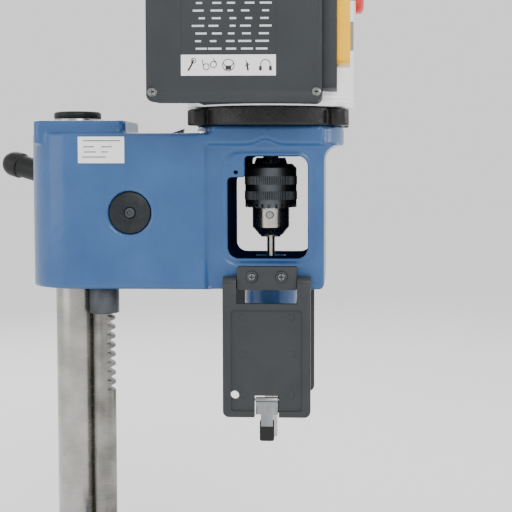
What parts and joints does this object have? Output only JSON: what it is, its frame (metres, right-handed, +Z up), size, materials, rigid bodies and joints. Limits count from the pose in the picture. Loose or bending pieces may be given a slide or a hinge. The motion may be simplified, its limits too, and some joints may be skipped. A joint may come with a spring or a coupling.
{
  "type": "bench hollow-chisel mortiser",
  "caption": "Bench mortiser: geared head slides on a round column over a fenced table; keyed chuck in a side window with hinged doors, vertical motor, control box and switch.",
  "frame": {"origin": "centre of the base's underside, midway between its four bolt holes", "axes": "+Z up, -Y towards the operator, +X to the machine's right-hand side with the feed handle"},
  "size_m": [0.3347, 0.4413, 0.7843],
  "materials": {
    "blue_enamel": "hammered enamel",
    "base_enamel": "enamel",
    "bare_steel": "ground",
    "bright_zinc": "zinc plated",
    "black_oxide": "black oxide",
    "cast_black": "satin black",
    "black_plastic": "moulded",
    "grey_plastic": "moulded",
    "box_grey": "powder coat",
    "yellow_plastic": "moulded",
    "red_plastic": "moulded",
    "motor_grey": "satin enamel",
    "board": "laminated board",
    "copper": "varnished winding",
    "bronze": "sintered"
  },
  "bodies": {
    "root": {"base_casting": "base_enamel", "table_board": "board", "table_screws": "bright_zinc", "column": "bare_steel", "column_cap": "cast_black", "column_clamp_bolts": "black_oxide", "rack_rod": "bare_steel", "rack_rod_nut": "black_oxide", "gas_cylinder": "cast_black", "depth_rod": "bare_steel"},
    "fence": {"fence_plate": "cast_black", "fence_bars": "bare_steel"},
    "fence_pinion": {"fence_knob": "black_plastic"},
    "fence_clamp": {"fence_lock": "black_oxide"},
    "stop_collar": {"depth_collar": "black_oxide"},
    "stop_screw": {"depth_collar_screw": "black_plastic"},
    "head": {"gas_rod": "bare_steel", "head_casting": "blue_enamel", "rod_bushing": "black_oxide", "pinion_bushing": "bronze", "chisel_bushing": "bare_steel", "motor_flange": "cast_black", "flange_bolts": "black_oxide", "motor_housing": "motor_grey", "motor_bearings": "bright_zinc", "stator": "copper", "fan_cover": "cast_black", "control_box": "box_grey", "box_cover": "box_grey", "cover_screws": "bright_zinc", "switch_box": "box_grey", "switch_housing": "yellow_plastic", "cord_gland": "black_plastic", "door_brackets": "black_plastic", "bracket_screws": "bright_zinc", "hollow_chisel": "bare_steel"},
    "feed": {"pinion_shaft": "bare_steel", "pinion_washer": "black_oxide", "pinion_screw": "black_oxide", "feed_hub": "cast_black", "feed_bar": "bare_steel", "feed_grip": "black_plastic"},
    "lock_lever": {"head_lock": "black_oxide"},
    "chisel_screw": {"chisel_lock_screw": "black_oxide"},
    "spindle": {"rotor_shaft": "bare_steel", "fan": "black_plastic", "chuck_body": "bare_steel", "auger_bit": "bare_steel"},
    "sleeve": {"chuck_sleeve": "black_oxide"},
    "jaw_1": {"chuck_jaw_1": "bare_steel"},
    "jaw_2": {"chuck_jaw_2": "bare_steel"},
    "jaw_3": {"chuck_jaw_3": "bare_steel"},
    "start": {"start_button": "grey_plastic"},
    "stop": {"stop_button": "red_plastic"},
    "left_door": {"door_left": "black_plastic"},
    "right_door": {"door_right": "black_plastic"},
    "left_latch": {"latch_left": "bright_zinc", "latch_tab_left": "black_plastic"},
    "right_latch": {"latch_right": "bright_zinc", "latch_tab_right": "black_plastic"}
  },
  "joints": [
    {"name": "head_slide", "type": "slide", "parent": "root", "child": "head", "axis": [0, 0, 1], "range_m": [-0.11, 0]},
    {"name": "feed_turn", "type": "hinge", "parent": "head", "child": "feed", "pos_m": [-0.025, 0.0616, 0.4759], "axis": [1, 0, 0], "range_deg": [0, 262.61]},
    {"name": "spindle_spin", "type": "hinge", "parent": "head", "child": "spindle", "pos_m": [0, -0.075, 0.5], "axis": [0, 0, 1], "continuous": true},
    {"name": "sleeve_turn", "type": "hinge", "parent": "spindle", "child": "sleeve", "pos_m": [0, -0.075, 0.5], "axis": [0, 0, 1], "range_deg": [0, 360]},
    {"name": "jaw_1_slide", "type": "slide", "parent": "spindle", "child": "jaw_1", "axis": [0.2756, 0, 0.9613], "range_m": [0, 0.0015]},
    {"name": "jaw_2_slide", "type": "slide", "parent": "spindle", "child": "jaw_2", "axis": [-0.1378, 0.2387, 0.9613], "range_m": [0, 0.0015]},
    {"name": "jaw_3_slide", "type": "slide", "parent": "spindle", "child": "jaw_3", "axis": [-0.1378, -0.2387, 0.9613], "range_m": [0, 0.0015]},
    {"name": "left_door_swing", "type": "hinge", "parent": "head", "child": "left_door", "pos_m": [-0.06, -0.075, 0.406], "axis": [0, 1, 0], "range_deg": [0, 180]},
    {"name": "right_door_swing", "type": "hinge", "parent": "head", "child": "right_door", "pos_m": [0.06, -0.075, 0.406], "axis": [0, -1, 0], "range_deg": [0, 180]},
    {"name": "left_latch_flex", "type": "hinge", "parent": "left_door", "child": "left_latch", "pos_m": [-0.0653, -0.075, 0.293], "axis": [0, -1, 0], "range_deg": [0, 10], "stiffness_Nm_per_rad": 0.6},
    {"name": "right_latch_flex", "type": "hinge", "parent": "right_door", "child": "right_latch", "pos_m": [0.0653, -0.075, 0.293], "axis": [0, 1, 0], "range_deg": [0, 10], "stiffness_Nm_per_rad": 0.6},
    {"name": "start_press", "type": "slide", "parent": "head", "child": "start", "axis": [0, 1, 0], "range_m": [0, 0.002], "stiffness_N_per_m": 800},
    {"name": "stop_press", "type": "slide", "parent": "head", "child": "stop", "axis": [0, 1, 0], "range_m": [0, 0.004], "stiffness_N_per_m": 900},
    {"name": "lock_turn", "type": "hinge", "parent": "head", "child": "lock_lever", "pos_m": [0.06, 0.125, 0.5207], "axis": [1, 0, 0], "range_deg": [-15, 15]},
    {"name": "chisel_screw_turn", "type": "hinge", "parent": "head", "child": "chisel_screw", "pos_m": [0, -0.095, 0.379], "axis": [0, -1, 0], "continuous": true},
    {"name": "fence_slide", "type": "slide", "parent": "root", "child": "fence", "axis": [0, 1, 0], "range_m": [-0.04, 0.045]},
    {"name": "fence_pinion_turn", "type": "hinge", "parent": "root", "child": "fence_pinion", "pos_m": [0.11, 0.035, 0.0805], "axis": [1, 0, 0], "range_deg": [-286.48, 254.65]},
    {"name": "fence_clamp_turn", "type": "hinge", "parent": "root", "child": "fence_clamp", "pos_m": [-0.11, 0.035, 0.11], "axis": [0, 0, 1], "range_deg": [-60, 60]},
    {"name": "stop_collar_slide", "type": "slide", "parent": "root", "child": "stop_collar", "axis": [0, 0, 1], "range_m": [-0.1, 0]},
    {"name": "stop_screw_turn", "type": "hinge", "parent": "stop_collar", "child": "stop_screw", "pos_m": [0.105, 0.128, 0.2797], "axis": [1, 0, 0], "continuous": true}
  ],
  "couplings": [
    {"joint": "feed_turn", "follows": "head_slide", "rad_per_m": -41.667},
    {"joint": "fence_pinion_turn", "follows": "fence_slide", "rad_per_m": -111.11},
    {"joint": "jaw_1_slide", "follows": "sleeve_turn", "m_per_rad": 0.00023873},
    {"joint": "jaw_2_slide", "follows": "sleeve_turn", "m_per_rad": 0.00023873},
    {"joint": "jaw_3_slide", "follows": "sleeve_turn", "m_per_rad": 0.00023873}
  ]
}
